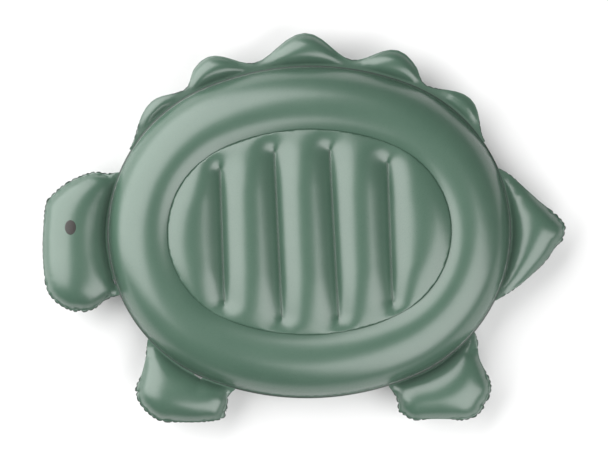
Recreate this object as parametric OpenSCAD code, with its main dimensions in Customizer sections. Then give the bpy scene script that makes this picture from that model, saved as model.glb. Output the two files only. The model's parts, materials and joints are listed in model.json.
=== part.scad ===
// Inflatable pool float in the shape of a spiky dinosaur, seen from above.
// Frame: origin on the floor below the ring's centre, +X towards the tail,
// +Y towards the back spikes, +Z up. All sizes are in millimetres.

/* [Ring] */
// Length of the ring over its outer weld flange
ring_len = 1088; // [1040:4:1140]
// Width of the ring over its outer weld flange
ring_wid = 896; // [880:4:920]
// Height of the inflated tube
tube_h = 190; // [176:2:200]
// Radius of the tube outside its crest
outer_r = 112; // [104:1:118]
// Distance of the tube's crest from the outer edge
crest_in = 116; // [108:1:122]
// How far the floor flattens the tube
floor_press = 2; // [1:0.5:4]

/* [Film] */
// Thickness of the film
film_t = 0.6; // [0.6:0.1:1]
// Width of a weld flange
flange_w = 5; // [4:0.5:6]
// Gap at the weld where a limb bends against the ring
hinge_gap = 1.2; // [1:0.1:2]

/* [Mattress] */
// Height of the mattress crests above the weld plane
mattress_h = 97; // [88:1:104]
// Depth of the mattress crests below the weld plane
mattress_low = 70; // [62:1:80]
// Height of the tie strips above the weld plane
tie_h = 61; // [50:1:70]
// Depth of the tie strips below the weld plane
tie_low = 42; // [34:1:50]
// Distance between two weld lines
channel_pitch = 149; // [140:1:152]
// Shift of the middle channel from the ring's centre
channel_shift = -9; // [-12:1:12]
// Distance from the end of a weld line to the mattress edge
crease_inset = 55; // [45:1:65]

/* [Limbs] */
// Half thickness of the head
head_h = 54; // [40:1:60]
// Half thickness of the tail
tail_h = 38; // [30:1:50]
// Half thickness of each foot
foot_h = 48; // [35:1:55]
// Half thickness of the widest spike
spike_h = 25; // [18:1:32]

/* [Eye] */
// Length of the printed eye along the float
eye_len = 30; // [20:1:40]
// Width of the printed eye across the float
eye_wid = 39; // [26:1:46]

/* [Valves] */
// Bore of a valve stem
stem_bore = 9; // [8:0.5:10]
// Outer diameter of a valve stem
stem_d = 15; // [14:0.5:16]
// Length of a valve stem
stem_len = 20; // [18:1:24]
// How far below the weld plane the ring valve points
valve_tilt = 38; // [30:1:45]

/* [Hidden] */

$fn = 96;
sage = [0.43, 0.56, 0.49];
eye_brown = [0.27, 0.25, 0.23];
valve_clear = [0.80, 0.84, 0.82];

// The ring's outline is an oval of four arcs: two end arcs and two flatter side arcs.
// The lines from arc centre to arc centre are the long sides of 5-12-13 triangles, so
// that neighbouring arcs meet exactly, with one tangent.
half_len = ring_len / 2;
half_wid = ring_wid / 2;
inner_r = tube_h / 2;
outer_drop = outer_r - inner_r;
seam_z = inner_r - floor_press;
unit = (half_len - half_wid) / 4;
end_x = 5 * unit;
side_y = 12 * unit;
end_r = half_len - end_x;
side_r = half_wid + side_y;
// Direction of the outward normal where an end arc meets a side arc
switch_a = atan2(12, 5);
inner_flange_w = 12;

// Point of the oval, offset outward by off, whose outward normal points at angle a
function oval(a, off) =
    let (c = cos(a), s = sin(a), r_end = end_r + off, r_side = side_r + off)
    abs(s) < sin(switch_a)
        ? [sign(c) * end_x + r_end * c, r_end * s]
        : [r_side * c, r_side * s - sign(s) * side_y];

// Direction of the oval's outward normal next to a point
function oval_direction(p) =
    let (end = atan2(abs(p[1]), abs(p[0]) - end_x), side = atan2(abs(p[1]) + side_y, abs(p[0])))
    let (a = end < switch_a ? end : side, s = p[1] < 0 ? -1 : 1)
    s * (p[0] < 0 ? 180 - a : a);

// Half width, at x, of the oval that lies inset inside the outline
function oval_half_width(x, inset) =
    let (r_end = end_r - inset, r_side = side_r - inset, x_switch = end_x + r_end * cos(switch_a))
    abs(x) > x_switch
        ? sqrt(max(0, r_end * r_end - pow(abs(x) - end_x, 2)))
        : sqrt(r_side * r_side - x * x) - side_y;

// Smooth curve through a list of points, with steps points to each stretch
function spline(p, steps) = [
    for (i = [0 : len(p) - 2])
        let (a = p[max(i - 1, 0)], b = p[i], c = p[i + 1], d = p[min(i + 2, len(p) - 1)])
        for (k = [0 : steps - 1])
            let (t = k / steps)
            0.5 * (2 * b + (c - a) * t + (2 * a - 5 * b + 4 * c - d) * t * t
                + (3 * b - a - 3 * c + d) * t * t * t)
];

// ---- Ring: four stretches of one tube section, turned about the four arc centres ----

// What lies inside the tube's section, drawn in by inset, between two heights. The section is
// centred below its crest, and it is rounder inside the crest than outside it.
module tube_section(inset, low, high) {
    clear = 2 * tube_h;
    intersection() {
        union() {
            circle(r = inner_r - inset);
            intersection() {
                translate([0, -outer_drop])
                    circle(r = outer_r - inset);
                translate([0, -clear])
                    square([clear, 2 * clear]);
            }
        }
        translate([-clear, low])
            square([2 * clear, high - low]);
    }
}

// Section of one sheet of the tube, in the upper half plane, pressed flat above flat_at
module sheet_section(flat_at) {
    difference() {
        union() {
            tube_section(0, 0, flat_at);
            translate([-inner_r - inner_flange_w, 0])
                square([inner_r + inner_flange_w + crest_in, film_t]);
        }
        tube_section(film_t, -1, flat_at - film_t);
    }
}

// Stretch of the tube about one arc centre, cut off along the edges of a wedge
module ring_stretch(r, wedge, flat_at) {
    intersection() {
        rotate_extrude()
            translate([r - crest_in, 0])
                sheet_section(flat_at);
        translate([0, 0, -tube_h])
            linear_extrude(2 * tube_h)
                polygon(wedge);
    }
}

module ring_sheet(flat_at) {
    end_wedge = [[0, 0], [5, -12], [10, 0], [5, 12]] * half_len;
    side_wedge = [[0, 0], [5, 12], [-5, 12]] * half_len;
    for (flip = [0, 1]) {
        mirror([flip, 0, 0])
            translate([end_x, 0, 0])
                ring_stretch(end_r, end_wedge, flat_at);
        mirror([0, flip, 0])
            translate([0, -side_y, 0])
                ring_stretch(side_r, side_wedge, flat_at);
    }
}

module ring_top_panel() {
    color(sage)
        translate([0, 0, seam_z])
            ring_sheet(tube_h);
}

module ring_bottom_panel() {
    color(sage)
        difference() {
            translate([0, 0, seam_z])
                mirror([0, 0, 1])
                    ring_sheet(seam_z);
            at_ring_valve()
                seat_hole();
        }
}

// ---- Mattress: two channelled sheets on the ring's inner flange, and four tie strips ----

// Each sheet: [height of its crests, height of its tie strips, how far up the ring's wall it lies]
TOP_SHEET = [mattress_h, tie_h, 55];
LOW_SHEET = [mattress_low, tie_low, 36];
wall_r = inner_r + 1;

// Inset of a sheet's rim from the ring's outline, and its height
function rim_in(sheet) = crest_in + wall_r * cos(sheet[2]);
function rim_z(sheet) = wall_r * sin(sheet[2]);

crease_x = [for (i = [0 : 3]) channel_shift + (i - 1.5) * channel_pitch];
function crease_reach(x) = oval_half_width(x, rim_in(TOP_SHEET)) - crease_inset;
valley_w = 70;
valley_power = 2.7;
crease_fade = 30;
// How squarely the sheet rises from its rim: higher powers give a steeper rim
rim_power_x = 14;
rim_power_y = 4;

// Lengthwise stations: the weld lines, and five more across each channel
channel_fractions = [0, 0.1, 0.26, 0.5, 0.74, 0.9];
function mattress_end(sheet) = half_len - rim_in(sheet) - 1.5;
function mattress_x(sheet) =
    let (edges = concat([-mattress_end(sheet)], crease_x, [mattress_end(sheet)]))
    concat(
        [for (c = [0 : 4]) for (f = channel_fractions) edges[c] + f * (edges[c + 1] - edges[c])],
        [mattress_end(sheet)]
    );
mattress_v = [-1, -0.985, -0.93, -0.84, -0.72, -0.5, 0, 0.5, 0.72, 0.84, 0.93, 0.985, 1];

// How deep the nearest weld line pulls the sheet in at a point, from 0 to 1
function crease_pull(x, y) = max([
    for (c = crease_x)
        pow(max(0, 1 - abs(x - c) / valley_w), valley_power)
            * min(1, max(0, (crease_reach(c) + crease_fade - abs(y)) / crease_fade))
]);

// Height of a sheet's outer face
function mattress_rise(sheet, x, y, v) =
    let (u = x / mattress_end(sheet), inward = (1 - pow(abs(u), rim_power_x)) * (1 - pow(abs(v), rim_power_y)))
    let (z = rim_z(sheet) + inward * (sheet[0] - rim_z(sheet)))
    z - crease_pull(x, y) * max(0, z - sheet[1] - film_t);

// Points of a face drawn in by inset: rows across the mattress, one for each lengthwise station
function mattress_face(sheet, inset) = [
    for (x = mattress_x(sheet))
        for (v = mattress_v)
            let (y = v * oval_half_width(x, rim_in(sheet)), k = 1 - inset / half_wid)
            [x * k, y * k, mattress_rise(sheet, x, y, v) - inset]
];

flank_steps = 4;

// Points of a face down the ring's wall from a rim, in rows
function mattress_flank(sheet, rim, inset) = [
    for (k = [1 : flank_steps])
        let (turn = sheet[2] * (1 - k / flank_steps), r = wall_r + inset)
        for (p = rim)
            let (q = oval(oval_direction(p), -crest_in - r * cos(turn)))
            [q[0], q[1], k == flank_steps ? film_t : r * sin(turn)]
];

// Bands of triangles between chains of point numbers, each chain closed
function bands(chains) = [
    for (c = [0 : len(chains) - 2])
        let (n = len(chains[c]))
        for (i = [0 : n - 1])
            let (j = (i + 1) % n, a = chains[c], b = chains[c + 1])
            for (f = [[a[i], b[i], a[j]], [a[j], b[i], b[j]]]) f
];

module mattress_sheet(sheet) {
    rows = len(mattress_x(sheet));
    cols = len(mattress_v);
    size = rows * cols;
    outer = mattress_face(sheet, 0);
    inner = mattress_face(sheet, film_t);
    // Grid numbers of the rim, once round
    rim = concat(
        [for (j = [0 : cols - 1]) j],
        [for (i = [1 : rows - 1]) i * cols + cols - 1],
        [for (j = [cols - 2 : -1 : 0]) (rows - 1) * cols + j],
        [for (i = [rows - 2 : -1 : 1]) i * cols]
    );
    rim_points = [for (k = rim) outer[k]];
    turn = len(rim);
    flank = 2 * size;
    back = flank + flank_steps * turn;
    polyhedron(
        points = concat(outer, inner, mattress_flank(sheet, rim_points, 0), mattress_flank(sheet, rim_points, film_t)),
        faces = concat(
            [for (i = [0 : rows - 2]) for (j = [0 : cols - 2]) let (k = i * cols + j)
                for (f = [[k, k + 1, k + cols], [k + 1, k + cols + 1, k + cols]]) f],
            [for (i = [0 : rows - 2]) for (j = [0 : cols - 2]) let (k = size + i * cols + j)
                for (f = [[k, k + cols, k + 1], [k + 1, k + cols, k + cols + 1]]) f],
            bands(concat(
                [rim],
                [for (k = [0 : flank_steps - 1]) [for (i = [0 : turn - 1]) flank + k * turn + i]],
                [for (k = [flank_steps - 1 : -1 : 0]) [for (i = [0 : turn - 1]) back + k * turn + i]],
                [[for (k = rim) size + k]]
            ))
        )
    );
}

module mattress_top_panel() {
    color(sage)
        translate([0, 0, seam_z])
            mattress_sheet(TOP_SHEET);
}

module mattress_bottom_panel() {
    color(sage)
        difference() {
            translate([0, 0, seam_z])
                mirror([0, 0, 1])
                    mattress_sheet(LOW_SHEET);
            at_mattress_valve()
                seat_hole();
        }
}

module mattress_baffle(i) {
    reach = crease_reach(crease_x[i]);
    color(sage)
        translate([crease_x[i] - film_t / 2, -reach, seam_z - tie_low])
            cube([film_t, 2 * reach, tie_h + tie_low]);
}

// ---- Back spikes: one strip along the ring, swept from section to section ----

// Outline of the crest: [direction of the ring's normal, height beyond the ring], neck and peak in turn
crest = [
    [33, 4], [47.5, 51], [62.5, 14], [72, 75], [80.5, 23], [90, 88],
    [100.5, 23], [109, 73], [118, 18], [129.5, 43], [147, 4]
];
crest_steps = 6;
weld_gap = 0.3;
crest_stations = [
    for (i = [0 : len(crest) - 2])
        for (k = [0 : crest_steps - 1])
            let (t = k / crest_steps)
            crest[i] + [t * (crest[i + 1][0] - crest[i][0]),
                (1 - cos(180 * t)) / 2 * (crest[i + 1][1] - crest[i][1])],
    crest[len(crest) - 1]
];
lens_steps = 4;

// One closed section of the strip's upper sheet, from the ring outwards and back below
function crest_section(a, h) =
    let (w = h - weld_gap, f = min(flange_w, w / 3), half = spike_h * (0.15 + 0.85 * w / 90))
    let (profile = concat(
        [[0, 0], [0, film_t]],
        [for (k = [0 : lens_steps]) let (v = k / lens_steps)
            [f + v * (w - 2 * f), film_t + half * (1 - pow(2 * v - 1, 2))]],
        [[w, film_t], [w, 0]],
        [for (k = [lens_steps : -1 : 0]) let (v = k / lens_steps)
            [f + film_t / 2 + v * (w - 2 * f - film_t), half * (1 - pow(2 * v - 1, 2))]]
    ))
    [for (p = profile) let (q = oval(a, weld_gap + p[0])) [q[0], q[1], p[1]]];

module crest_sheet() {
    sections = [for (s = crest_stations) crest_section(s[0], s[1])];
    n = len(sections[0]);
    last = len(sections) - 1;
    polyhedron(
        points = [for (s = sections) for (p = s) p],
        faces = concat(
            [[for (k = [0 : n - 1]) k]],
            [[for (k = [n - 1 : -1 : 0]) last * n + k]],
            [for (j = [0 : last - 1]) for (k = [0 : n - 1])
                let (a = j * n + k, b = j * n + (k + 1) % n)
                for (f = [[a, a + n, b], [b, a + n, b + n]]) f]
        )
    );
}

module spikes_top_panel() {
    color(sage)
        translate([0, 0, seam_z])
            crest_sheet();
}

module spikes_bottom_panel() {
    color(sage)
        translate([0, 0, seam_z])
            mirror([0, 0, 1])
                crest_sheet();
}

// ---- Limbs: a pillow of two sheets round each free outline ----

// Each limb: [arc centre side, direction, angles from it to its root's two ends, middle of its pillow, free outline].
// Points are [distance beyond the ring's edge, distance to the side], from one root corner to the other.
HEAD = [-1, 179, [-23, 23], [80, 15], [
    [0, -161], [33, -166], [73, -154], [111, -135], [146, -106], [165, -79], [172, -12], [174, 42],
    [171, 100], [161, 155], [129, 191], [81, 211], [35, 202], [3, 177]
]];
TAIL = [1, -2.7, [-25, 25], [66, 0], [
    [2, -153], [31, -131], [81, -84], [102, -59], [122, -27], [137, -13], [144, 17], [142, 33],
    [117, 60], [76, 91], [49, 114], [21, 138], [-6, 161]
]];
FRONT_FOOT = [-1, 239.3, [-18.4, 14.4], [72, 10], [
    [26, -114], [69, -102], [109, -97], [133, -79], [150, -46], [156, -10], [151, 15], [133, 51],
    [106, 98], [74, 141], [54, 149], [26, 139], [3, 131]
]];
REAR_FOOT = [1, 300.9, [-14.8, 18], [74, -10], [
    [17, -141], [50, -155], [66, -149], [93, -134], [115, -94], [144, -49], [162, -25], [173, 13],
    [162, 48], [138, 82], [109, 97], [56, 102], [29, 111], [4, 125]
]];

limb_steps = 3;
root_steps = 8;
pillow_levels = [1, 0.93, 0.8, 0.58, 0.3];

// Root of a limb, along the ring's edge, in the limb's own frame. That frame's origin is the
// centre of the ring's end arc, and its x axis points out along the limb.
function limb_root(limb) = [
    for (k = [0 : root_steps])
        let (dir = limb[1], ends = limb[2], a = dir + ends[1] + (ends[0] - ends[1]) * k / root_steps)
        let (p = oval(a, hinge_gap) - [limb[0] * end_x, 0])
        [p[0] * cos(dir) + p[1] * sin(dir), p[1] * cos(dir) - p[0] * sin(dir)]
];

// Outline of a limb in its own frame: out round the free edge, then back along the root
function limb_outline(limb) =
    let (root = limb_root(limb), free = [for (p = limb[4]) [end_r + p[0], p[1]]])
    concat(
        spline(concat([root[root_steps]], free, [root[0]]), limb_steps),
        [for (k = [0 : root_steps - 1]) root[k]]
    );

// How much of its full height a pillow has at s, from 0 in the middle to 1 at the weld
function pillow(s) = pow(1 - pow(s, 2.2), 0.85);

// Ring of points at an inset from the outline, drawn in to s about the middle
function level(outline, mid, inset, s, z) = [
    for (p = outline)
        let (arm = p - mid, q = mid + arm * (1 - inset / norm(arm)) * s)
        [q[0], q[1], z]
];

module limb_sheet(limb, height) {
    outline = limb_outline(limb);
    mid = [end_r + limb[3][0], limb[3][1]];
    n = len(outline);
    rise = height - film_t;
    rings = concat(
        [for (i = [len(pillow_levels) - 1 : -1 : 0]) let (s = pillow_levels[i])
            level(outline, mid, flange_w, s, film_t + rise * pillow(s))],
        [level(outline, mid, 0, 1, film_t), level(outline, mid, 0, 1, 0)],
        [for (s = pillow_levels) level(outline, mid, flange_w + film_t, s, rise * pillow(s))]
    );
    count = len(rings);
    crown = count * n;
    polyhedron(
        points = concat([for (r = rings) for (p = r) p],
            [[mid[0], mid[1], height], [mid[0], mid[1], rise]]),
        faces = concat(
            [for (k = [0 : n - 1]) [crown, (k + 1) % n, k]],
            [for (j = [0 : count - 2]) for (k = [0 : n - 1])
                let (a = j * n + k, b = j * n + (k + 1) % n)
                for (f = [[a, b, a + n], [b, b + n, a + n]]) f],
            [for (k = [0 : n - 1]) [crown + 1, (count - 1) * n + k, (count - 1) * n + (k + 1) % n]]
        )
    );
}

module at_limb(limb) {
    translate([limb[0] * end_x, 0, seam_z])
        rotate([0, 0, limb[1]])
            children();
}

module limb_top(limb, height) {
    color(sage)
        at_limb(limb)
            limb_sheet(limb, height);
}

module limb_bottom(limb, height) {
    color(sage)
        at_limb(limb)
            mirror([0, 0, 1])
                limb_sheet(limb, height);
}

// ---- Eye: a thin print that follows the head's upper sheet ----

eye_x = -637;
eye_y = 26;
print_t = 0.3;

// Solid form of the head's upper half, used to shape the print's underside
module head_form(lift) {
    outline = limb_outline(HEAD);
    mid = [end_r + HEAD[3][0], HEAD[3][1]];
    n = len(outline);
    count = len(pillow_levels);
    rings = [for (s = pillow_levels)
        level(outline, mid, flange_w, s, film_t + lift + (head_h - film_t) * pillow(s))];
    at_limb(HEAD)
        polyhedron(
            points = concat([for (r = rings) for (p = r) p],
                [for (p = rings[0]) [p[0], p[1], 0]], [[mid[0], mid[1], head_h + lift], [mid[0], mid[1], 0]]),
            faces = concat(
                [for (j = [0 : count - 2]) for (k = [0 : n - 1])
                    let (a = j * n + k, b = j * n + (k + 1) % n)
                    for (f = [[a, a + n, b], [b, a + n, b + n]]) f],
                [for (k = [0 : n - 1]) [(count + 1) * n, (count - 1) * n + (k + 1) % n, (count - 1) * n + k]],
                [for (k = [0 : n - 1]) let (m = (k + 1) % n)
                    for (f = [[k, m, count * n + k], [m, count * n + m, count * n + k]]) f],
                [for (k = [0 : n - 1]) [(count + 1) * n + 1, count * n + k, count * n + (k + 1) % n]]
            )
        );
}

module eye() {
    color(eye_brown)
        intersection() {
            difference() {
                head_form(print_t);
                head_form(0);
            }
            translate([eye_x, eye_y, seam_z])
                linear_extrude(head_h * 2)
                    scale([1, eye_wid / eye_len])
                        circle(d = eye_len, $fn = 40);
        }
}

// ---- Valves: each is drawn with its mouth at z = 0, pointing outward along +Z ----

seat_r = 18;
seat_cut = 12;
base_r = seat_r - 0.2;
base_wall_t = 1.2;
base_floor_z = -4.5;
base_floor_t = 1.2;
web_r = 12;
web_t = 0.9;
web_fold = 4.5;
stem_r = stem_d / 2;
bore_r = stem_bore / 2;
stem_rim_w = 1.5;
stem_rim_t = 1.5;
cap_r = 8.5;
cap_t = 2.2;
fit_gap = 0.1;
stopper_len = 6;
stopper_taper = 1.4;
stopper_top_r = bore_r - fit_gap;
stopper_tip_r = stopper_top_r - stopper_taper;
pivot_r = 14;
strap_w = 5;
strap_t = 1;
flap_t = 0.8;
flap_r = stem_r - 0.8;

module at_ring_valve() {
    translate([0, crest_in - half_wid, seam_z + outer_drop])
        rotate([90 + valve_tilt, 0, 0])
            translate([0, 0, outer_r])
                children();
}

module at_mattress_valve() {
    translate([channel_shift, -channel_pitch, seam_z - mattress_low])
        rotate([180, 0, 0])
            children();
}

// Round hole in a sheet for a valve base
module seat_hole() {
    translate([0, 0, -seat_cut])
        cylinder(r = seat_r, h = 2 * seat_cut);
}

// Dished base that fills the seat: a collar and a floor with a round opening
module valve_base() {
    color(valve_clear)
        rotate_extrude() {
            translate([base_r - base_wall_t, base_floor_z])
                square([base_wall_t, -base_floor_z]);
            translate([web_r, base_floor_z])
                square([base_r - web_r, base_floor_t]);
        }
}

// Soft web, folded once, that lets the stem be pushed in
module valve_skirt() {
    fold = (stem_r + web_r) / 2;
    color(valve_clear)
        rotate_extrude()
            polygon([
                [web_r, base_floor_z], [fold, base_floor_z - web_fold - web_t], [stem_r, base_floor_z],
                [stem_r, base_floor_z + web_t], [fold, base_floor_z - web_fold + web_t], [web_r, base_floor_z + web_t]
            ]);
}

// Stem: a tube with a rim at its mouth and a lug for the plug's strap
module valve_stem() {
    color(valve_clear)
        difference() {
            union() {
                translate([0, 0, -stem_len])
                    cylinder(r = stem_r, h = stem_len);
                translate([0, 0, -stem_rim_t])
                    cylinder(r = stem_r + stem_rim_w, h = stem_rim_t);
                translate([0, -strap_w / 2, -stem_rim_t])
                    cube([pivot_r + strap_t, strap_w, stem_rim_t]);
            }
            translate([0, 0, -stem_len - 1])
                cylinder(r = bore_r, h = stem_len + 2);
        }
}

// One-way flap across the stem's inner end
module valve_flap() {
    color(valve_clear)
        translate([0, 0, -stem_len - flap_t - fit_gap])
            cylinder(r = flap_r, h = flap_t);
}

// Plug: a cap with a tapered stopper, and a strap that turns about the stem's lug
module valve_plug() {
    color(valve_clear)
        union() {
            translate([0, 0, fit_gap])
                cylinder(r = cap_r, h = cap_t);
            translate([0, -strap_w / 2, fit_gap])
                cube([pivot_r, strap_w, strap_t]);
            translate([pivot_r, strap_w / 2, fit_gap + strap_t / 2])
                rotate([90, 0, 0])
                    cylinder(d = strap_t, h = strap_w);
            translate([0, 0, -stopper_len])
                cylinder(r1 = stopper_tip_r, r2 = stopper_top_r, h = stopper_len + 2 * fit_gap);
        }
}

ring_top_panel();
ring_bottom_panel();
mattress_top_panel();
mattress_bottom_panel();
mattress_baffle(0);  // mattress_baffle_1
mattress_baffle(1);  // mattress_baffle_2
mattress_baffle(2);  // mattress_baffle_3
mattress_baffle(3);  // mattress_baffle_4
spikes_top_panel();
spikes_bottom_panel();
limb_top(HEAD, head_h);  // head_top_panel
limb_bottom(HEAD, head_h);  // head_bottom_panel
eye();
limb_top(TAIL, tail_h);  // tail_top_panel
limb_bottom(TAIL, tail_h);  // tail_bottom_panel
limb_top(FRONT_FOOT, foot_h);  // front_foot_top_panel
limb_bottom(FRONT_FOOT, foot_h);  // front_foot_bottom_panel
limb_top(REAR_FOOT, foot_h);  // rear_foot_top_panel
limb_bottom(REAR_FOOT, foot_h);  // rear_foot_bottom_panel
at_ring_valve() valve_base();  // ring_valve_base
at_ring_valve() valve_skirt();  // ring_valve_skirt
at_ring_valve() valve_stem();  // ring_valve_stem
at_ring_valve() valve_flap();  // ring_valve_flap
at_ring_valve() valve_plug();  // ring_valve_plug
at_mattress_valve() valve_base();  // mattress_valve_base
at_mattress_valve() valve_skirt();  // mattress_valve_skirt
at_mattress_valve() valve_stem();  // mattress_valve_stem
at_mattress_valve() valve_flap();  // mattress_valve_flap
at_mattress_valve() valve_plug();  // mattress_valve_plug
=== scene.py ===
"""Looks of the inflatable pool float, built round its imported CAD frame. Lengths are in metres."""

import json
import math

import bpy
import numpy as np
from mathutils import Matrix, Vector
from mathutils.bvhtree import BVHTree
from mathutils.geometry import delaunay_2d_cdt


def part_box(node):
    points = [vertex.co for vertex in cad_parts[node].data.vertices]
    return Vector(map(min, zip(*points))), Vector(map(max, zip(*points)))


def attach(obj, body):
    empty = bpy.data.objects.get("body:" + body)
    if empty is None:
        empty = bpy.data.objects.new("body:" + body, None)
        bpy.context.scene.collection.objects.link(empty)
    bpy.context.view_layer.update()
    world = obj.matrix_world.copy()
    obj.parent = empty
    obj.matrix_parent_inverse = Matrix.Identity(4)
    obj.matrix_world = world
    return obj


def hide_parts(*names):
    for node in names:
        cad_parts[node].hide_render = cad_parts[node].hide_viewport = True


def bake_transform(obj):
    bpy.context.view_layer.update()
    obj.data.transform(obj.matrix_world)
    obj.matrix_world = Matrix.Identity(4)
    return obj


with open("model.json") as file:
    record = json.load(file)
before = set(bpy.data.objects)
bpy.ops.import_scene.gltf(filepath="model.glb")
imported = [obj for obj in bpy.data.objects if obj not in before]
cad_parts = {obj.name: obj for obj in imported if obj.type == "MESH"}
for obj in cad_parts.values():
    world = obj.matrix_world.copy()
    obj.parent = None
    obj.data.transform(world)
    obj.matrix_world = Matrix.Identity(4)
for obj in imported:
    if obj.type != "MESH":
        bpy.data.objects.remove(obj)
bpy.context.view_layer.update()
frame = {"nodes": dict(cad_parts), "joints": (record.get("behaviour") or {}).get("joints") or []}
MM = 0.001

# ---- The ring's outline: an oval of two end arcs and two flatter side arcs, joined on 5-12-13 triangles ----

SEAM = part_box("ring_top_panel")[0].z
HALF_LEN, HALF_WID, RING_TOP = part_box("ring_top_panel")[1]
# The tube's section: its radius inside and outside its crest, and how far in from the outline the crest is.
INNER_R = RING_TOP - SEAM
OUTER_R = 112 * MM
CREST_IN = 116 * MM
MATTRESS_IN = CREST_IN + INNER_R + 3 * MM
UNIT = (HALF_LEN - HALF_WID) / 4
END_X, SIDE_Y = 5 * UNIT, 12 * UNIT
END_R, SIDE_R = HALF_LEN - END_X, HALF_WID + SIDE_Y
SWITCH = math.atan2(12, 5)
# Widths of the ring's weld flanges, the film's thickness, and how far a limb's root runs in under the ring.
FLANGE = 5 * MM
INNER_FLANGE = 12 * MM
FILM = 0.6 * MM
TUCK_IN = 2.5 * MM


def oval(angle, offset=0.0):
    """Points of the ring's outline, moved outward by offset, where its normal points at angle."""
    cos, sin = np.cos(angle), np.sin(angle)
    on_end = abs(sin) < math.sin(SWITCH)
    radius = np.where(on_end, END_R, SIDE_R) + offset
    x = radius * cos + np.where(on_end, np.sign(cos) * END_X, 0)
    y = radius * sin - np.where(on_end, 0, np.sign(sin) * SIDE_Y)
    return np.stack([x, y], -1)


def off_ring(points):
    """Direction of the ring's normal at points of the plan, and how far outside its outline they lie."""
    x, y = abs(points[:, 0]), abs(points[:, 1])
    end, side = np.arctan2(y, x - END_X), np.arctan2(y + SIDE_Y, x)
    on_end = end < SWITCH
    angle = np.where(on_end, end, side)
    outside = np.where(on_end, np.hypot(x - END_X, y) - END_R, np.hypot(x, y + SIDE_Y) - SIDE_R)
    return np.arctan2(np.sin(angle) * np.sign(points[:, 1]), np.cos(angle) * np.sign(points[:, 0])), outside


def even_angles(count, offset=0.0):
    """Normal angles of count points evenly spaced along the oval."""
    fine = np.linspace(0, 2 * math.pi, 4001)
    along = np.concatenate([[0], np.cumsum(np.linalg.norm(np.diff(oval(fine, offset), axis=0), axis=1))])
    return np.interp(np.arange(count) / count * along[-1], along, fine)


# ---- Materials ----


def node_tree(name):
    """A new material, its node tree and its shader."""
    material = bpy.data.materials.new(name)
    material.use_nodes = True
    return material, material.node_tree, material.node_tree.nodes["Principled BSDF"]


def add(tree, kind, **inputs):
    """A shader node with its inputs set: a value sets the socket, a socket is linked to it."""
    node = tree.nodes.new(kind)
    for name, value in inputs.items():
        socket = node.inputs[name.replace("_", " ")]
        if isinstance(value, bpy.types.NodeSocket):
            tree.links.new(value, socket)
        else:
            socket.default_value = value
    return node


def ramp(tree, factor, stops):
    """The colour of a colour ramp with (position, colour) stops."""
    node = add(tree, "ShaderNodeValToRGB", Fac=factor)
    node.color_ramp.elements[0].position, node.color_ramp.elements[0].color = stops[0]
    node.color_ramp.elements[1].position, node.color_ramp.elements[1].color = stops[-1]
    for position, color in stops[1:-1]:
        node.color_ramp.elements.new(position).color = color
    return node.outputs["Color"]


def grey(value):
    return (value, value, value, 1)


def vinyl(name, dark, light, rough):
    """Satin PVC film: cloudy pigment, a fine embossed grain and a faint ripple."""
    material, tree, shader = node_tree(name)
    place = add(tree, "ShaderNodeTexCoord").outputs["Object"]
    cloud = add(tree, "ShaderNodeTexNoise", Vector=place, Scale=9.0, Detail=5.0, Roughness=0.6).outputs["Fac"]
    fine = add(tree, "ShaderNodeTexNoise", Vector=place, Scale=900.0, Detail=3.0).outputs["Fac"]
    pores = add(tree, "ShaderNodeTexVoronoi", Vector=place, Scale=1100.0).outputs["Distance"]
    ripple = add(tree, "ShaderNodeTexNoise", Vector=place, Scale=38.0, Detail=2.0).outputs["Fac"]
    tree.links.new(ramp(tree, cloud, [(0.3, dark), (0.7, light)]), shader.inputs["Base Color"])
    tree.links.new(ramp(tree, fine, [(0.3, grey(rough - 0.04)), (0.7, grey(rough + 0.05))]),
                   shader.inputs["Roughness"])
    embossed = add(tree, "ShaderNodeBump", Strength=0.06, Distance=0.2 * MM, Height=pores)
    waved = add(tree, "ShaderNodeBump", Strength=0.12, Distance=1.0 * MM, Height=ripple,
                Normal=embossed.outputs["Normal"])
    tree.links.new(waved.outputs["Normal"], shader.inputs["Normal"])
    shader.inputs["Specular IOR Level"].default_value = 0.75
    return material


def weld_band(name, dark, light):
    """Film pressed by a welding electrode: glossier, with a fine diamond knurl."""
    material, tree, shader = node_tree(name)
    place = add(tree, "ShaderNodeTexCoord").outputs["Object"]
    cloud = add(tree, "ShaderNodeTexNoise", Vector=place, Scale=60.0, Detail=4.0).outputs["Fac"]
    turned = [add(tree, "ShaderNodeMapping", Vector=place, Rotation=(0, 0, turn)).outputs["Vector"]
              for turn in (math.pi / 4, -math.pi / 4)]
    knurl = [add(tree, "ShaderNodeTexWave", Vector=vector, Scale=260.0).outputs["Fac"] for vector in turned]
    both = add(tree, "ShaderNodeMath")
    for wave, socket in zip(knurl, both.inputs):
        tree.links.new(wave, socket)
    tree.links.new(ramp(tree, cloud, [(0.3, dark), (0.7, light)]), shader.inputs["Base Color"])
    tree.links.new(ramp(tree, cloud, [(0.3, grey(0.4)), (0.7, grey(0.5))]), shader.inputs["Roughness"])
    bump = add(tree, "ShaderNodeBump", Strength=0.35, Distance=0.15 * MM, Height=both.outputs["Value"])
    tree.links.new(bump.outputs["Normal"], shader.inputs["Normal"])
    return material


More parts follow.
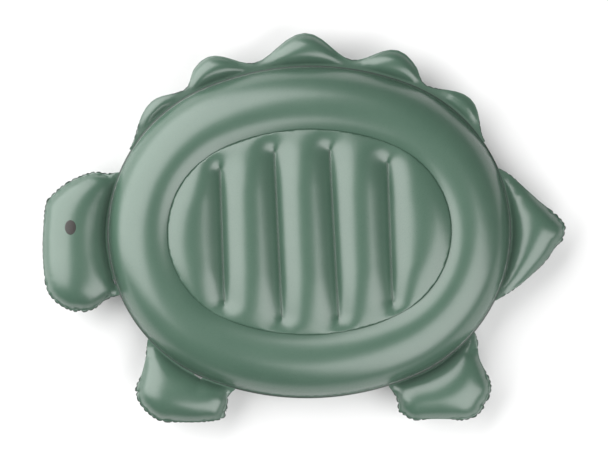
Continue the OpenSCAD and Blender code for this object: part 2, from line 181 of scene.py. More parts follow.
def printed_ink(name):
    """Dark printed ink, slightly mottled where it lies on the film's grain."""
    material, tree, shader = node_tree(name)
    place = add(tree, "ShaderNodeTexCoord").outputs["Object"]
    mottle = add(tree, "ShaderNodeTexNoise", Vector=place, Scale=700.0, Detail=4.0).outputs["Fac"]
    color = ramp(tree, mottle, [(0.35, (0.012, 0.010, 0.008, 1)), (0.7, (0.019, 0.016, 0.014, 1))])
    tree.links.new(color, shader.inputs["Base Color"])
    tree.links.new(ramp(tree, mottle, [(0.3, grey(0.42)), (0.7, grey(0.52))]), shader.inputs["Roughness"])
    bump = add(tree, "ShaderNodeBump", Strength=0.1, Distance=0.1 * MM, Height=mottle)
    tree.links.new(bump.outputs["Normal"], shader.inputs["Normal"])
    return material


def milky_vinyl(name):
    """Soft, cloudy, half clear vinyl of the valves."""
    material, tree, shader = node_tree(name)
    place = add(tree, "ShaderNodeTexCoord").outputs["Object"]
    cloud = add(tree, "ShaderNodeTexNoise", Vector=place, Scale=120.0, Detail=4.0).outputs["Fac"]
    tree.links.new(ramp(tree, cloud, [(0.3, (0.50, 0.60, 0.55, 1)), (0.7, (0.60, 0.69, 0.64, 1))]),
                   shader.inputs["Base Color"])
    tree.links.new(ramp(tree, cloud, [(0.3, grey(0.2)), (0.7, grey(0.32))]), shader.inputs["Roughness"])
    shader.inputs["Subsurface Weight"].default_value = 0.4
    shader.inputs["Subsurface Radius"].default_value = (0.004, 0.005, 0.0045)
    shader.inputs["Transmission Weight"].default_value = 0.15
    bump = add(tree, "ShaderNodeBump", Strength=0.15, Distance=0.2 * MM, Height=cloud)
    tree.links.new(bump.outputs["Normal"], shader.inputs["Normal"])
    return material


SAGE = vinyl("sage_vinyl", (0.044, 0.086, 0.061, 1), (0.050, 0.094, 0.067, 1), 0.3)
# Dark weld colour: painted shade for the folds and crevices along the welded seams. Its knurl and gloss are
# the weld's own.
SAGE_WELD_SHADE = weld_band("sage_weld_painted_shade", (0.014, 0.026, 0.019, 1), (0.02, 0.036, 0.027, 1))
# Bar colour, a little darker than the film: painted shade for the creases that the weld bars lie in.
SAGE_BAR_SHADE = weld_band("sage_bar_painted_shade", (0.034, 0.060, 0.044, 1), (0.044, 0.076, 0.056, 1))
INK = printed_ink("eye_ink")
MILKY = milky_vinyl("milky_vinyl")

# ---- Meshes ----


def mesh_object(name, points, faces, materials, slots=None, levels=0):
    """A smooth object from points and faces. slots gives each face's material, levels its subdivision."""
    mesh = bpy.data.meshes.new(name)
    mesh.from_pydata(np.asarray(points).tolist(), [], [list(map(int, face)) for face in faces])
    for material in materials:
        mesh.materials.append(material)
    if slots is not None:
        mesh.polygons.foreach_set("material_index", np.asarray(slots, dtype=np.int32))
    mesh.shade_smooth()
    obj = bpy.data.objects.new(name, mesh)
    bpy.context.scene.collection.objects.link(obj)
    if levels:
        modifier = obj.modifiers.new("round", "SUBSURF")
        modifier.levels = modifier.render_levels = levels
        bake_modifiers(obj)
    return obj


def bake_modifiers(obj):
    """Replaces the mesh by what its modifiers make of it."""
    graph = bpy.context.evaluated_depsgraph_get()
    final = bpy.data.meshes.new_from_object(obj.evaluated_get(graph))
    obj.modifiers.clear()
    obj.data = final


def inside(points, loop):
    """Which points of the plan lie inside a closed outline."""
    x, y = points.T
    odd = np.zeros(len(points), bool)
    for a, b in zip(loop, np.roll(loop, -1, 0)):
        if a[1] != b[1]:
            crosses = (a[1] > y) != (b[1] > y)
            odd ^= crosses & (x < (b[0] - a[0]) * (y - a[1]) / (b[1] - a[1]) + a[0])
    return odd


def nearest(points, loop):
    """Distance from points of the plan to a closed outline, and how far along it the nearest place is."""
    best = np.full(len(points), np.inf)
    place = np.zeros(len(points))
    start = 0.0
    for a, b in zip(loop, np.roll(loop, -1, 0)):
        side = b - a
        length = np.linalg.norm(side)
        t = np.clip((points - a) @ side / length**2, 0, 1)
        distance = np.linalg.norm(points - a - t[:, None] * side, axis=1)
        closer = distance < best
        best[closer] = distance[closer]
        place[closer] = start + t[closer] * length
        start += length
    return best, place


def along(loop):
    """How far along a closed outline each of its points is, and its whole length."""
    sides = np.linalg.norm(np.roll(loop, -1, 0) - loop, axis=1)
    return np.concatenate([[0], np.cumsum(sides)[:-1]]), sides.sum()


def resample(loop, spacing):
    """Points on a closed outline, about spacing apart, with its corners kept."""
    points = []
    for a, b in zip(loop, np.roll(loop, -1, 0)):
        steps = max(1, round(float(np.linalg.norm(b - a)) / spacing))
        points += [a + (b - a) * k / steps for k in range(steps)]
    return np.array(points)


def even_grid(low, high, spacing):
    """Points of an even triangle grid over a box of the plan."""
    rows = np.arange(low[1], high[1], spacing * math.sqrt(3) / 2)
    return np.array([(x + (j % 2) * spacing / 2, y) for j, y in enumerate(rows)
                     for x in np.arange(low[0], high[0], spacing)])


def flat_sheet(loop, spacing, lines=()):
    """Flat triangle mesh inside a closed outline, whose points come first, with edges along closed lines."""
    grid = even_grid(loop.min(0), loop.max(0), spacing)
    grid = grid[inside(grid, loop)]
    loops = [loop, *lines]
    for line in loops:
        grid = grid[nearest(grid, line)[0] > 0.6 * spacing]
    starts = np.cumsum([0] + [len(line) for line in loops])
    edges = [(s + i, s + (i + 1) % len(line)) for s, line in zip(starts, loops) for i in range(len(line))]
    points = np.vstack([*loops, grid])
    made = delaunay_2d_cdt([Vector(p) for p in points], edges, [], 1, 1e-7)
    return np.array([(*p, 0.0) for p in made[0]]), np.array([list(face) for face in made[2]])


def evened(points, faces, pinned, rounds):
    """Points after rounds of moving each one halfway to the middle of its neighbours. Pinned points stay."""
    sides = np.vstack([faces[:, [0, 1]], faces[:, [1, 2]], faces[:, [2, 0]]])
    sides = np.vstack([sides, sides[:, ::-1]])
    count = np.bincount(sides[:, 0], minlength=len(points))[:, None]
    fixed = points[pinned].copy()
    for _ in range(rounds):
        total = np.zeros_like(points)
        np.add.at(total, sides[:, 0], points[sides[:, 1]])
        points = (points + total / count) / 2
        points[pinned] = fixed
    return points


# Settings that every sheet shares. The cloth is solved at CLOTH_SCALE times its real size.
CLOTH_SCALE = 10.0
CLOTH_QUALITY = 6
CLOTH_MASS = 0.3


def inflate(points, faces, pinned, growth, pressure, bending, frames=40, stiff=30.0, rounds=0):
    """Blows a sheet up as cloth held at its pinned points, then evens it out. growth is its spare length."""
    mesh = bpy.data.meshes.new("blown")
    mesh.from_pydata((points * CLOTH_SCALE).tolist(), [], faces.tolist())
    obj = bpy.data.objects.new("blown", mesh)
    bpy.context.scene.collection.objects.link(obj)
    obj.vertex_groups.new(name="pinned").add([int(i) for i in pinned], 1.0, "REPLACE")
    cloth = obj.modifiers.new("cloth", "CLOTH")
    settings = cloth.settings
    settings.quality = CLOTH_QUALITY
    settings.mass = CLOTH_MASS
    settings.tension_stiffness = settings.compression_stiffness = stiff
    settings.shear_stiffness = stiff / 2
    settings.bending_stiffness = bending
    settings.use_pressure = True
    settings.uniform_pressure_force = pressure
    settings.shrink_min = -growth
    settings.vertex_group_mass = "pinned"
    settings.effector_weights.gravity = 0
    cloth.collision_settings.use_collision = False
    cloth.point_cache.frame_start, cloth.point_cache.frame_end = 1, frames
    for step in range(1, frames + 1):
        bpy.context.scene.frame_set(step)
    blown = obj.evaluated_get(bpy.context.evaluated_depsgraph_get()).data
    result = np.zeros(len(points) * 3)
    blown.vertices.foreach_get("co", result)
    bpy.context.scene.frame_set(1)
    bpy.data.objects.remove(obj)
    return evened(result.reshape(-1, 3) / CLOTH_SCALE, faces, pinned, rounds)


# ---- Pillows: two welded sheets blown up between their weld lines, with the flange outside the weld ----

# Half the thickness of a flange next to its weld line.
HALF_WELD = 0.8 * MM
# A puckered weld: spacing of its notches, how sharp they are, and how far lobes and notches move its edge.
SCALLOP_PITCH = 15.5 * MM
NOTCH_SHARPNESS = 2.6
LOBE_OUT, NOTCH_IN = 0.4, 1.3
RIPPLE = 2.2 * MM
# Where the weld puckers more than this, its flange takes the dark weld colour: painted shade for the folds of
# the puckered seam.
PAINTED_SHADE_FROM = 0.12
# Each notch presses a dent of this share into the sheet, which fades over this distance.
DENT, DENT_REACH = 0.4, 9 * MM
# Power of the share of a sheet's height. A lower one makes the sheet's rim rounder.
FULLNESS = 0.88
# Rows of the flange: the share of its width, and the height over the seam as a share of half the weld.
FLANGE_ROWS = ((0.5, 1.0), (1.0, 0.6), (1.0, -0.6), (0.5, -1.0))


def bend_rate(loop, reach):
    """How fast a closed outline turns at each point, in radians per metre, evened out over reach."""
    place, whole = along(loop)
    step = np.roll(loop, -1, 0) - loop
    turn = np.angle(np.exp(1j * np.diff(np.unwrap(np.arctan2(step[:, 1], step[:, 0])), prepend=0)))
    first, last = math.atan2(step[0, 1], step[0, 0]), math.atan2(step[-1, 1], step[-1, 0])
    turn[0] = np.angle(np.exp(1j * (first - last)))
    gap = abs(place[:, None] - place[None, :])
    near = np.exp(-(np.minimum(gap, whole - gap) / reach) ** 2)
    return near @ turn / (math.sqrt(math.pi) * reach)


def scallops(place):
    """Notches and waves of a puckered weld with an uneven pitch, by distance along it.

    The first is 1 at each notch and 0 in the middle of each lobe. The second swings from -1 to 1.
    """
    phase = place / SCALLOP_PITCH + 0.3 * np.sin(place / (31 * MM)) + 0.22 * np.sin(place / (11.7 * MM) + 1)
    wave = np.sin(math.pi * phase)
    return (1 - abs(wave)) ** NOTCH_SHARPNESS, wave


def blow_sheet(weld, height, growth, pressure, puckered, spacing, **cloth):
    """One sheet of a pillow, blown up over its weld line to that height, with dents at the weld's notches."""
    points, faces = flat_sheet(weld, spacing)
    distance, place = nearest(points[:, :2], weld)
    rim = np.arange(len(weld))
    points = inflate(points, faces, rim, growth, pressure, **cloth)
    points[:, 2] = height * (np.clip(points[:, 2], 0, None) / points[:, 2].max()) ** FULLNESS
    here = np.interp(place, along(weld)[0], puckered)
    points[:, 2] *= 1 - DENT * here * scallops(place)[0] * np.exp(-distance / DENT_REACH)
    return points, faces


def walls(rows_from, count):
    """Faces between closed rows of count points, given the index that each row starts from."""
    return [(a + i, b + i, b + (i + 1) % count, a + (i + 1) % count)
            for a, b in zip(rows_from, rows_from[1:]) for i in range(count)]


def pillow(name, weld, edge, sheets, puckered, nodes):
    """A closed skin: an upper and a lower sheet, and the welded flange from the weld line out to the edge."""
    (top, top_faces), (bottom, bottom_faces) = sheets
    count = len(weld)
    notch, wave = scallops(along(weld)[0])
    cut = (1 + puckered * (LOBE_OUT - NOTCH_IN * notch))[:, None]
    reach = edge - weld
    ripple = RIPPLE * puckered * wave
    rows = []
    for share, rise in FLANGE_ROWS:
        rows.append(np.column_stack([weld + reach * cut * share, SEAM + rise * HALF_WELD + ripple * share]))
    upper = top + [0, 0, SEAM + HALF_WELD]
    lower = bottom * [1, 1, -1] + [0, 0, SEAM - HALF_WELD]
    points = np.vstack([upper, lower, *rows])
    n_top, n_low = len(upper), len(upper) + len(lower)
    chain = [0] + [n_low + k * count for k in range(len(rows))] + [n_top]
    faces = [*top_faces, *(bottom_faces[:, ::-1] + n_top), *walls(chain, count)]
    slots = [0] * (len(top_faces) + len(bottom_faces))
    # The outer rows of a puckered flange take the dark weld colour: painted shade for its folds.
    for row in range(len(chain) - 1):
        outermost = 1 <= row <= 3
        slots += [int(outermost and pucker > PAINTED_SHADE_FROM) for pucker in puckered]
    obj = mesh_object(name, points, faces, [SAGE, SAGE_WELD_SHADE], slots, levels=1)
    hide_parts(*nodes)
    return obj


# ---- Limbs ----


def node_points(node):
    """Points of a CAD node."""
    return np.array([vertex.co for vertex in frame["nodes"][node].data.vertices])


def on_seam(points):
    """Those of a node's points that lie at the seam's height, as points of the plan."""
    return points[abs(points[:, 2] - SEAM) < 0.01 * MM][:, :2]


def limb_outline(node):
    """Outline of a limb's flange, once round, and the middle of its pillow."""
    points = node_points(node)
    middle = points[points[:, 2].argmax(), :2]
    flat = on_seam(points) - middle
    angle, radius = np.arctan2(flat[:, 1], flat[:, 0]), np.hypot(*flat.T)
    outer = {}
    for a, r in zip(angle, radius):
        key = round(float(a), 4)
        outer[key] = max(r, outer.get(key, 0))
    keys = sorted(outer)
    longest = np.array([outer[key] for key in keys])
    turn = np.array(keys)
    return middle + longest[:, None] * np.column_stack([np.cos(turn), np.sin(turn)]), middle


# Spare length of each limb's sheets, and a blend length out from the ring.
LIMBS = {
    "head": {"growth": 0.10, "blend": 60 * MM},
    "tail": {"growth": 0.08, "blend": 50 * MM},
    "front_foot": {"growth": 0.11, "blend": 55 * MM},
    "rear_foot": {"growth": 0.11, "blend": 55 * MM},
}
LIMB_CLOTH = {"bending": 10.0, "rounds": 8}
LIMB_PRESSURE = 130.0
# The lower sheet has a little less spare length and more pressure than the upper one, and its own grid.
LOW_GROWTH, LOW_PRESSURE = 0.95, 1.2
LIMB_GRID, LIMB_LOW_GRID = 6 * MM, 6.3 * MM
LIMB_STEP = 3.3 * MM
# Points nearer to the ring than this belong to a limb's root.
ROOT_WITHIN = 2 * MM
# Puckers fade in from this far out from the ring, over this length.
PUCKER_FROM, PUCKER_FADE = 4 * MM, 20 * MM
# The weld puckers where its outline turns: wholly at this rate, in radians per metre evened out over a reach.
PUCKER_TURN, PUCKER_REACH = 4.5, 34 * MM
ROOT_FLANGE, PLAIN_FLANGE = 4 * MM, 2.2 * MM


def limb(name, growth, blend):
    """Head, tail or foot: a pillow that keeps its root on the ring."""
    upper, lower = f"{name}_top_panel", f"{name}_bottom_panel"
    outline, middle = limb_outline(upper)
    edge = resample(outline, LIMB_STEP)
    arm = edge - middle
    facing, outside = off_ring(edge)
    root = outside < ROOT_WITHIN
    free = np.clip((outside - PUCKER_FROM) / PUCKER_FADE, 0, 1)
    puckered = free * np.clip(bend_rate(edge, PUCKER_REACH) / PUCKER_TURN, 0, 1)
    flange = np.where(root, ROOT_FLANGE, PLAIN_FLANGE + (FLANGE - PLAIN_FLANGE) * puckered)
    weld = middle + arm * (1 - flange / np.linalg.norm(arm, axis=1))[:, None]
    edge = np.where(root[:, None], oval(facing, -TUCK_IN), edge)
    top_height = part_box(upper)[1].z - SEAM - HALF_WELD
    low_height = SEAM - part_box(lower)[0].z - HALF_WELD
    sheets = (
        blow_sheet(weld, top_height, growth, LIMB_PRESSURE, puckered, LIMB_GRID, **LIMB_CLOTH),
        blow_sheet(weld, low_height, growth * LOW_GROWTH, LIMB_PRESSURE * LOW_PRESSURE, puckered,
                   LIMB_LOW_GRID, **LIMB_CLOTH),
    )
    obj = pillow(name, weld, edge, sheets, puckered, (upper, lower))
    roots = oval(off_ring(edge[root])[0])
    out = middle - roots.mean(0)
    out /= np.linalg.norm(out)
    tip = roots[(roots @ out).argmax()]
    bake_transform(obj)
    return obj


limbs = {name: limb(name, **spec) for name, spec in LIMBS.items()}

# ---- Crest of spikes ----

CREST_STATIONS = 420
CREST_CLOTH = {"bending": 6.0, "rounds": 14}
# Spare length, pressure and grid of the upper and the lower sheet.
CREST_TOP, CREST_LOW = (0.06, 90.0, 5 * MM), (0.055, 100.0, 5.2 * MM)
# The weld puckers by CREST_PUCKER where the strip is narrow: not at all at 30 mm, wholly at 18 mm.
CREST_PUCKER = 0.35
WIDE_FROM, NARROW_BY = 30 * MM, 12 * MM


def crest():
    """The strip of spikes, one pillow from the ring's edge out to the outline of the spikes."""
    angle, outside = off_ring(on_seam(node_points("spikes_top_panel")))
    stations = np.unique(angle.round(4))
    heights = np.array([outside[abs(angle - a) < 2e-4].max() for a in stations])
    angles = np.linspace(stations[0], stations[-1], CREST_STATIONS)
    height = np.interp(angles, stations, heights)
    gap = outside.min()
    band = np.minimum(FLANGE, (height - gap) / 3)
    outer = np.array([oval(a, h) for a, h in zip(angles, height)])
    outer_weld = np.array([oval(a, h - f) for a, h, f in zip(angles, height, band)])
    root_weld = np.array([oval(a, gap + f) for a, f in zip(angles, band)])[::-1]
    root_edge = np.array([oval(a, -TUCK_IN) for a in angles])[::-1]
    weld = np.vstack([outer_weld, root_weld])
    edge = np.vstack([outer, root_edge])
    narrow = np.clip((WIDE_FROM - height) / NARROW_BY, 0, 1)
    puckered = np.concatenate([CREST_PUCKER * narrow, np.zeros(CREST_STATIONS)])
    top_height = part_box("spikes_top_panel")[1].z - SEAM - HALF_WELD
    sheets = [blow_sheet(weld, top_height, growth, pressure, puckered, grid, **CREST_CLOTH)
              for growth, pressure, grid in (CREST_TOP, CREST_LOW)]
    obj = pillow("crest", weld, edge, sheets, puckered, ("spikes_top_panel", "spikes_bottom_panel"))
    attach(obj, "float")


crest()

# ---- Valve seats ----

SEAT_R, SEAT_DEPTH = 17.9 * MM, 36 * MM
# How far the pocket's cutter stands out of the skin, and where the plug's hinge is from the mouth's middle.
CUTTER_OUT = 30 * MM
HINGE_ASIDE, HINGE_OUT = 14 * MM, 0.6 * MM


def cut_seat(obj, valve):
    """Sinks a round pocket into a skin, where its valve sits."""
    joints = {joint["name"]: joint for joint in frame["joints"]}
    out = Vector(joints[f"{valve}_stem_slide"]["axis"]).normalized()
    hinge = Vector(joints[f"{valve}_plug_swing"]["pos_m"])
    mouth = hinge - Vector((HINGE_ASIDE, 0, 0)) - out * HINGE_OUT
    bpy.ops.mesh.primitive_cylinder_add(vertices=96, radius=SEAT_R, depth=SEAT_DEPTH + CUTTER_OUT)
    cutter = bpy.context.object
    cutter.rotation_euler = out.to_track_quat("Z", "Y").to_euler()
    cutter.location = mouth + out * (CUTTER_OUT - SEAT_DEPTH) / 2
    modifier = obj.modifiers.new("seat", "BOOLEAN")
    modifier.operation, modifier.solver, modifier.object = "DIFFERENCE", "EXACT", cutter
    bake_modifiers(obj)
    bpy.data.objects.remove(cutter)


# ---- Ring: one tube section swept round the oval ----

RING_STATIONS, QUARTER_STEPS = 384, 16
# Height over the seam at which the tube's section starts, next to the weld.
WELD_RISE = 1.1 * MM
# Puckers of the outer wall: how far they move it in and out, and how fast they fade away from the seam.
WALL_PUCKER, WALL_FADE = 0.9 * MM, 28 * MM


def ring_section():
    """Section of the tube's upper half from the outer flange to the inner one: (offset, height) pairs."""
    drop = OUTER_R - INNER_R
    turn = np.linspace(math.asin((drop + WELD_RISE) / OUTER_R), math.pi / 2, QUARTER_STEPS)
    outside = np.column_stack([-CREST_IN + OUTER_R * np.cos(turn), OUTER_R * np.sin(turn) - drop])
    turn = np.linspace(math.pi / 2, math.pi - WELD_RISE / INNER_R, QUARTER_STEPS)[1:]
    inside_wall = np.column_stack([-CREST_IN + INNER_R * np.cos(turn), INNER_R * np.sin(turn)])
    outer = [(0, 0.25 * MM), (-0.4 * MM, FILM), (-FLANGE * 0.8, FILM)]
    inside_x = -CREST_IN - INNER_R
    inner = [(inside_x - MM, FILM), (inside_x - INNER_FLANGE, FILM * 0.6)]
    return np.vstack([outer, outside, inside_wall, inner])


def wall_pucker(turn):
    """Uneven puckers of the outer wall, by how far round the ring they are, as an angle in radians."""
    fine = math.sin(97 * turn + 2 * math.sin(13 * turn))
    finer = math.sin(151 * turn + 1.5 * math.sin(7 * turn))
    return 0.5 * fine + 0.35 * finer


def ring():
    """The whole tube with both weld flanges, pressed flat where it rests on the floor."""
    angles = even_angles(RING_STATIONS, -CREST_IN)
    half = ring_section()
    section = np.vstack([half, (half * [1, -1])[::-1]])
    place = np.arange(RING_STATIONS) / RING_STATIONS * 2 * math.pi
    outward = (section[:, 0] > -CREST_IN) & (abs(section[:, 1]) > FILM)
    near_outer = np.exp(-(section[:, 1] / WALL_FADE) ** 2) * outward
    height = np.maximum(SEAM + section[:, 1], 0.0)
    rows = []
    for angle, turn in zip(angles, place):
        offset = section[:, 0] + near_outer * wall_pucker(turn) * WALL_PUCKER
        rows.append(np.column_stack([oval(np.full(len(section), angle), offset), height]))
    count = len(section)
    faces = [(i * count + j, ((i + 1) % RING_STATIONS) * count + j,
              ((i + 1) % RING_STATIONS) * count + (j + 1) % count, i * count + (j + 1) % count)
             for i in range(RING_STATIONS) for j in range(count)]
    # Steps of the section that lie on the outer and the inner weld flange.
    flange = set(range(0, 2)) | set(range(count - 3, count)) | set(range(len(half) - 2, len(half) + 2))
    # The ring's flange steps take the dark weld colour: painted shade along its seams.
    slots = [1 if j in flange else 0 for _ in range(RING_STATIONS) for j in range(count)]
    obj = mesh_object("ring", np.vstack(rows), faces, [SAGE, SAGE_WELD_SHADE], slots)
    cut_seat(obj, "ring")
    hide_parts("ring_top_panel", "ring_bottom_panel")
    return obj


ring_obj = ring()
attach(ring_obj, "float")

# ---- Mattress: two channelled sheets that bulge against the ring ----

CREASES = [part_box(f"mattress_baffle_{i}") for i in range(1, 5)]
# How much each weld bar leans, as a slope, how wide it is, and how far it runs past its tie strip's ends.
LEANS = (0.012, 0.025, 0.032, 0.014)
BAR = 4 * MM
BAR_TAIL = 9 * MM
BAR_STEPS = 90
# Power that rounds a bar's ends, and the least share of its width that they keep.
BAR_ROUND, BAR_TIP = 60, 0.02
# Points round the rim of each sheet.
MATTRESS_RIM = 300
# Where the sheets touch the ring's wall, in degrees up its section: at the long sides and at the ends.
TOP_TOUCH, LOW_TOUCH = (53.5, 59), (35, 38)
TOP_GRID, LOW_GRID = 7 * MM, 7.3 * MM
MATTRESS_PRESSURE = 12.0
MATTRESS_CLOTH = {"frames": 24, "stiff": 150.0, "bending": 6.0}
# How far the mattress's flanks lie inside the ring's wall, and its own seam inside its outline.
WALL_GAP = 0.1 * MM
SEAM_INSET = 4 * MM
# Width in millimetres over which a sheet falls to its rim: at the long sides, and how much less at the ends.
FALL_WIDTH, FALL_LESS = 160, 110
# The flank below the rim comes down the wall in rows, at these shares of the rim's angle.
FLANK = np.linspace(0.85, 0, 7)
HALF_CHANNEL = (CREASES[2][0].x - CREASES[1][0].x - BAR) / 2


def contact_turn(angle, sides, ends):
    """How far up the ring's inner wall the mattress touches it, as an angle of the tube's section.

    angle is the ring's normal there. sides and ends are degrees, at the long sides and at the ends.
    """
    return np.radians(sides + (ends - sides) * np.cos(angle) ** 2)


def crease_line(lean, low, high):
    """Outline of one weld bar, a long rounded strip that leans a little from its tie strip."""
    middle, reach = (low.y - BAR_TAIL + high.y) / 2, (high.y + BAR_TAIL - low.y) / 2
    ys = np.linspace(-reach, reach, BAR_STEPS)
    x = (low.x + high.x) / 2 - lean * (ys + middle)
    half = BAR / 2 * np.sqrt(np.clip(1 - (abs(ys) / reach) ** BAR_ROUND, BAR_TIP, 1))
    right = np.column_stack([x + half, ys + middle])
    left = np.column_stack([x - half, ys + middle])[::-1]
    return np.vstack([right, left])


def channel_share(distance, sag):
    """Height of a round channel over its weld lines, as a share of sag, by distance from the nearest one."""
    radius = (HALF_CHANNEL**2 + sag**2) / (2 * sag)
    across = np.clip(HALF_CHANNEL - distance, 0, None)
    return (np.sqrt(radius**2 - across**2) - radius + sag) / sag


def wall_row(angles, turn):
    """Points down the ring's inner wall, with heights over the seam, where its section's angle is turn."""
    wall = INNER_R + WALL_GAP
    plan = [oval(a, -CREST_IN - wall * math.cos(t)) for a, t in zip(angles, turn)]
    return np.column_stack([plan, wall * np.sin(turn)])


def mattress_sheet(crest, valley, touch, spacing):
    """One sheet of the mattress above the seam, and the flank that runs down the ring's wall below its rim.

    crest and valley are the heights of the channels and of their weld lines over the seam.
    """
    angles = even_angles(MATTRESS_RIM, -MATTRESS_IN)
    turn = contact_turn(angles, *touch)
    rim_row = wall_row(angles, turn)
    rim, rim_rise = rim_row[:, :2], rim_row[:, 2]
    lines = [crease_line(lean, *box) for lean, box in zip(LEANS, CREASES)]
    points, faces = flat_sheet(rim, spacing, lines)
    distance, place = nearest(points[:, :2], rim)
    rim_place, whole = along(rim)
    rim_place = np.append(rim_place, whole)
    start = np.interp(place, rim_place, np.append(rim_rise, rim_rise[0]))
    width = (FALL_WIDTH - FALL_LESS * np.cos(angles) ** 2) * MM
    fall = np.clip(1 - distance / np.interp(place, rim_place, np.append(width, width[0])), 0, 1) ** 2
    near_line = np.min([nearest(points[:, :2], line)[0] for line in lines], 0)
    share = channel_share(near_line, crest - valley)
    points[:, 2] = valley + (crest - (crest - start) * fall - valley) * share
    rim_index = np.arange(len(rim))
    on_bar = np.zeros(len(points), bool)
    on_bar[len(rim):len(rim) + sum(len(line) for line in lines)] = True
    for line in lines:
        on_bar |= inside(points[:, :2], line)
    points[rim_index, 2] = rim_rise
    points[on_bar, 2] = valley
    held = np.concatenate([rim_index, np.flatnonzero(on_bar)])
    points = inflate(points, faces, held, 0.0, MATTRESS_PRESSURE, **MATTRESS_CLOTH)
    # Faces on the weld bars take the bar colour: painted shade of the creases.
    slots = on_bar[faces].all(1).astype(int)
    return points, faces, slots, [wall_row(angles, turn * part) for part in FLANK]


def mattress():
    """Both sheets of the mattress and their flanks, which meet at the seam inside the ring."""
    tie_low, tie_top = CREASES[0][0].z, CREASES[0][1].z
    top_z, low_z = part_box("mattress_top_panel")[1].z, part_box("mattress_bottom_panel")[0].z
    top, top_faces, top_slots, top_rows = mattress_sheet(
        top_z - SEAM, tie_top - SEAM + MM, TOP_TOUCH, TOP_GRID)
    low, low_faces, low_slots, low_rows = mattress_sheet(
        SEAM - low_z, SEAM - tie_low + MM, LOW_TOUCH, LOW_GRID)
    count = MATTRESS_RIM
    low_rows = [row * [1, 1, -1] for row in low_rows]
    seam_in = np.array([oval(a, -MATTRESS_IN - SEAM_INSET) for a in even_angles(count, -MATTRESS_IN)])
    rows = top_rows[:-1] + [np.column_stack([seam_in, np.zeros(count)])] + low_rows[:-1][::-1]
    points = np.vstack([top, low * [1, 1, -1], *rows]) + [0, 0, SEAM]
    n_top, n_low = len(top), len(top) + len(low)
    chain = [0] + [n_low + k * count for k in range(len(rows))] + [n_top]
    sides = walls(chain, count)
    faces = [*top_faces, *(low_faces[:, ::-1] + n_top), *sides]
    slots = np.concatenate([top_slots, low_slots, np.zeros(len(sides), int)])
    obj = mesh_object("mattress", points, faces, [SAGE, SAGE_BAR_SHADE], slots, levels=1)
    cut_seat(obj, "mattress")
    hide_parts("mattress_top_panel", "mattress_bottom_panel")
    return obj


mattress_obj = mattress()
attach(mattress_obj, "float")

# ---- Eye ----

EYE_RINGS, EYE_STEPS = 10, 56
# How far the print stands over the sheet within its edge and at it, and how far its back lies below.
PRINT_UP, PRINT_EDGE_UP, PRINT_BACK = 0.15 * MM, 0.02 * MM, 0.4 * MM


def eye():
    """The printed eye, as a thin patch that follows the head's upper sheet."""
    low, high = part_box("eye")
    middle, half = (low + high) / 2, (high - low) / 2
    head = limbs["head"]
    sheet = BVHTree.FromPolygons([v.co for v in head.data.vertices], [p.vertices for p in head.data.polygons])
    rings, steps = EYE_RINGS, EYE_STEPS
    plan = [(0.0, 0.0)] + [(r / rings * math.cos(a), r / rings * math.sin(a)) for r in range(1, rings + 1)
                           for a in np.linspace(0, 2 * math.pi, steps, endpoint=False)]
    top, under = [], []
    for u, v in plan:
        above = Vector((middle.x + u * half.x, middle.y + v * half.y, 1))
        hit, normal, _, _ = sheet.ray_cast(above, Vector((0, 0, -1)))
        at_edge = math.hypot(u, v) > 0.99
        top.append(hit + normal * (PRINT_EDGE_UP if at_edge else PRINT_UP))
        under.append(hit - normal * PRINT_BACK)
    fan = [(0, 1 + i, 1 + (i + 1) % steps) for i in range(steps)]
    rows = [(1 + (r - 1) * steps + i, 1 + r * steps + i, 1 + r * steps + (i + 1) % steps,
             1 + (r - 1) * steps + (i + 1) % steps) for r in range(1, rings) for i in range(steps)]
    count, last = len(plan), 1 + (rings - 1) * steps
    back = [tuple(count + k for k in reversed(face)) for face in fan + rows]
    side = [(last + i, count + last + i, count + last + (i + 1) % steps, last + (i + 1) % steps)
            for i in range(steps)]
    obj = mesh_object("eye_print", top + under, fan + rows + back + side, [INK])
    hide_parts("eye")
    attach(obj, "head")


eye()

# ---- CAD nodes that stay ----

for name, node in frame["nodes"].items():
    if node.hide_render:
        continue
    node.data.materials.clear()
    node.data.materials.append(MILKY if "valve" in name else SAGE)

# ---- Studio ----

FLOOR_HALF = 9
# Strength of the surroundings as a light, and as the camera sees them behind the floor.
WORLD_LIGHT, WORLD_SEEN = 0.1, 0.9
CAMERA_HEIGHT, VIEW_WIDTH, VIEW_TURN = 6.0, 1.6367, -1.25
VIEW_MIDDLE = (-0.0136, 0.0175)


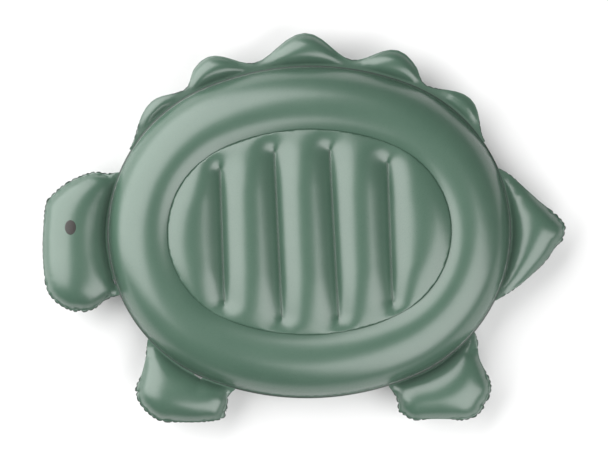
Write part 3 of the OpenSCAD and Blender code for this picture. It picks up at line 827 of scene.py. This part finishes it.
def softbox(name, azimuth, elevation, distance, size, power):
    """A large soft light that faces the float, placed by its direction from the float in degrees."""
    light = bpy.data.lights.new(name, "AREA")
    light.shape = "RECTANGLE"
    light.size, light.size_y = size
    light.energy = power
    obj = bpy.data.objects.new(name, light)
    turn, rise = math.radians(azimuth), math.radians(elevation)
    out = Vector((math.cos(rise) * math.cos(turn), math.cos(rise) * math.sin(turn), math.sin(rise)))
    obj.location = out * distance
    obj.rotation_euler = out.to_track_quat("Z", "Y").to_euler()
    obj.visible_camera = False
    bpy.context.scene.collection.objects.link(obj)


def studio():
    """A pale floor just below the float, two soft lights and pale surroundings."""
    corners = [(x * FLOOR_HALF, y * FLOOR_HALF, -MM) for x, y in ((-1, -1), (1, -1), (1, 1), (-1, 1))]
    floor = mesh_object("floor", corners, [(0, 1, 2, 3)], [])
    material, _, shader = node_tree("white_sweep")
    shader.inputs["Base Color"].default_value = (0.63, 0.63, 0.63, 1)
    shader.inputs["Roughness"].default_value = 0.9
    floor.data.materials.append(material)
    softbox("softbox_left", azimuth=150, elevation=36, distance=3.4, size=(6.5, 4.9), power=445)
    softbox("softbox_right", azimuth=315, elevation=44, distance=3.2, size=(3.5, 3.1), power=145)
    world = bpy.data.worlds.new("studio")
    world.use_nodes = True
    background = world.node_tree.nodes["Background"]
    background.inputs["Color"].default_value = (0.95, 0.97, 0.96, 1)
    seen = world.node_tree.nodes.new("ShaderNodeLightPath").outputs["Is Camera Ray"]
    strength = add(world.node_tree, "ShaderNodeMapRange", Value=seen, To_Min=WORLD_LIGHT, To_Max=WORLD_SEEN)
    world.node_tree.links.new(strength.outputs["Result"], background.inputs["Strength"])
    bpy.context.scene.world = world
    bpy.context.scene.view_settings.view_transform = "Standard"


def camera():
    """Straight above the float, turned a little so that the head end sits lower in the picture."""
    data = bpy.data.cameras.new("camera")
    data.sensor_width = 36.0
    data.lens = data.sensor_width * (CAMERA_HEIGHT - SEAM) / VIEW_WIDTH
    obj = bpy.data.objects.new("camera", data)
    obj.location = (*VIEW_MIDDLE, CAMERA_HEIGHT)
    obj.rotation_euler = (0, 0, math.radians(VIEW_TURN))
    bpy.context.scene.collection.objects.link(obj)
    bpy.context.scene.camera = obj


studio()
camera()
